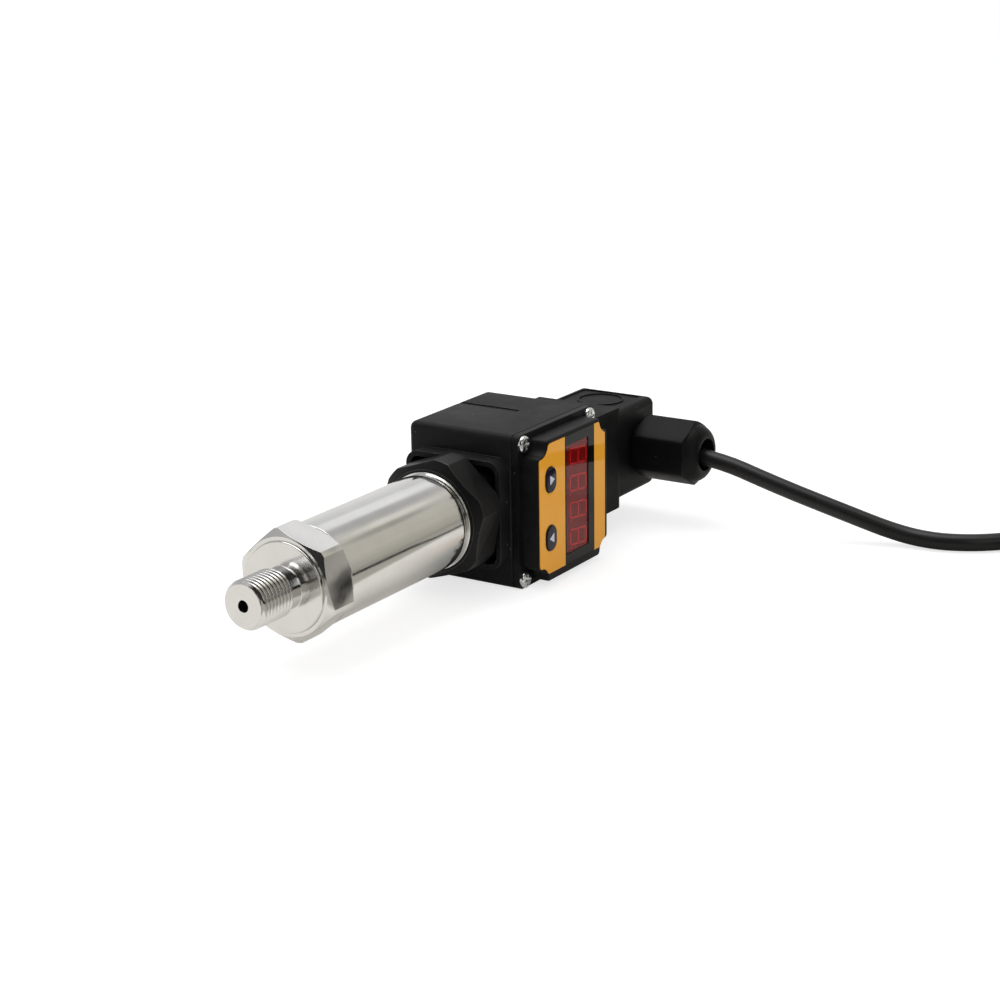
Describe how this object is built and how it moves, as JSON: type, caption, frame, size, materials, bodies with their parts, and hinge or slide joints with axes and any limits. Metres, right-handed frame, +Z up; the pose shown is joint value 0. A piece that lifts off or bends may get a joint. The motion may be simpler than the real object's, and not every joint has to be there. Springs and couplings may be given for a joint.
{
  "type": "pressure transmitter",
  "caption": "Pressure transmitter: steel threaded port and tube, plug-on digital display module with push keys, and an angled cable plug with gland and lead.",
  "frame": {"origin": "on the body axis, where the process thread has its full diameter behind the lead chamfer", "axes": "+X along the body from the pressure port to the cable plug, -Y the way the display faces, +Z up as the instrument lies on the display module's flank"},
  "size_m": [0.2357, 0.2179, 0.0446],
  "materials": {
    "port_steel": "turned and polished",
    "tube_steel": "fine brushed",
    "ring_chrome": "polished",
    "cell_steel": "turned",
    "seal_rubber": "satin",
    "carrier_plastic": "moulded",
    "board_green": "solder resist",
    "chip_black": "moulded",
    "base_nylon": "glass-filled, satin",
    "contact_brass": "tin plated",
    "insert_brass": "turned",
    "module_black": "spark-eroded texture",
    "lid_black": "fine texture",
    "screw_steel": "bright plated",
    "label_film": "glossy printed film",
    "window_red": "clear red filter",
    "digit_grey": "moulded",
    "key_grey": "satin",
    "plug_black": "satin moulded",
    "terminal_grey": "moulded",
    "gland_black": "satin moulded",
    "core_insulation": "extruded",
    "cable_black": "satin sheath"
  },
  "bodies": {
    "transmitter": {"pressure_port": "port_steel", "sensor_cell": "cell_steel", "cell_o_ring": "seal_rubber", "cell_retaining_ring": "cell_steel", "body_tube": "tube_steel", "tube_end_ring": "ring_chrome", "board_carrier": "carrier_plastic", "amplifier_board": "board_green", "amplifier_parts": "chip_black", "link_header": "contact_brass", "connector_base": "base_nylon", "base_o_ring": "seal_rubber", "base_blades": "contact_brass", "base_nut": "insert_brass", "base_gasket": "seal_rubber", "display_housing": "module_black", "display_lid": "lid_black", "lid_seal": "seal_rubber", "lid_screws": "screw_steel", "front_label": "label_film", "display_window": "window_red", "digit_block": "digit_grey", "display_board": "board_green", "key_switches": "chip_black", "control_board": "board_green", "control_parts": "chip_black", "board_header": "contact_brass", "module_contacts": "contact_brass", "module_blades": "contact_brass", "plug_gasket": "seal_rubber", "plug_housing": "plug_black", "terminal_block": "terminal_grey", "plug_contacts": "contact_brass", "terminal_screws": "screw_steel", "centre_screw": "screw_steel", "centre_washer": "seal_rubber", "cable_cores": "core_insulation", "gland_grommet": "seal_rubber", "gland_washer": "carrier_plastic", "signal_cable": "cable_black", "cable_coil": "cable_black"},
    "up_key": {"up_key": "key_grey"},
    "down_key": {"down_key": "key_grey"},
    "gland_nut": {"gland_nut": "gland_black"}
  },
  "joints": [
    {"name": "up_key_press", "type": "slide", "parent": "transmitter", "child": "up_key", "axis": [0, 1, 0], "range_m": [0, 0.0003], "stiffness_N_per_m": 2500, "springref_m": -0.0004},
    {"name": "down_key_press", "type": "slide", "parent": "transmitter", "child": "down_key", "axis": [0, 1, 0], "range_m": [0, 0.0003], "stiffness_N_per_m": 2500, "springref_m": -0.0004},
    {"name": "gland_nut_turn", "type": "hinge", "parent": "transmitter", "child": "gland_nut", "pos_m": [0.1777, -0.03, 0], "axis": [0, -1, 0], "range_deg": [-90, 30]}
  ]
}
